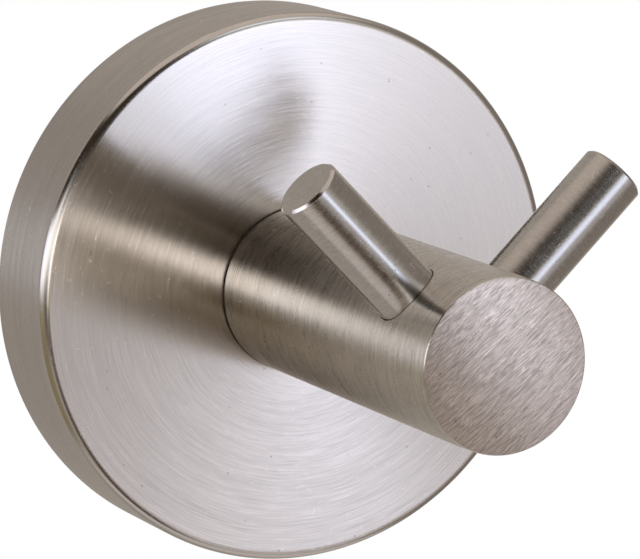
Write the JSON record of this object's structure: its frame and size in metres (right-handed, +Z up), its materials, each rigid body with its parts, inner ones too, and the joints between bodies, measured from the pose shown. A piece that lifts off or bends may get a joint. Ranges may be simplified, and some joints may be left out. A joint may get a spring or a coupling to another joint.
{
  "type": "double robe hook",
  "caption": "Satin steel robe hook: a round wall rose carries a plain round post with slim pegs spread in a V on top, held by a concealed wall plate and a grub screw.",
  "frame": {"origin": "the point of the wall plane on the post's axis, midway between the two wall screw holes", "axes": "+Y into the wall, -Y out along the post, +Z up between the pegs, +X to the right seen from the front"},
  "size_m": [0.053, 0.054, 0.053],
  "materials": {
    "rose_steel": "satin stainless, fine rings from turning on the face",
    "post_steel": "satin stainless, brushed round the bar, straight grain on the end",
    "peg_steel": "smooth satin stainless",
    "screw_steel": "plain stainless",
    "plate_steel": "plain machined stainless"
  },
  "bodies": {
    "root": {"rose": "rose_steel", "post": "post_steel", "peg_left": "peg_steel", "peg_right": "peg_steel", "post_screw": "screw_steel", "lock_washer": "screw_steel", "grub_screw": "screw_steel", "wall_plate": "plate_steel"}
  },
  "joints": []
}
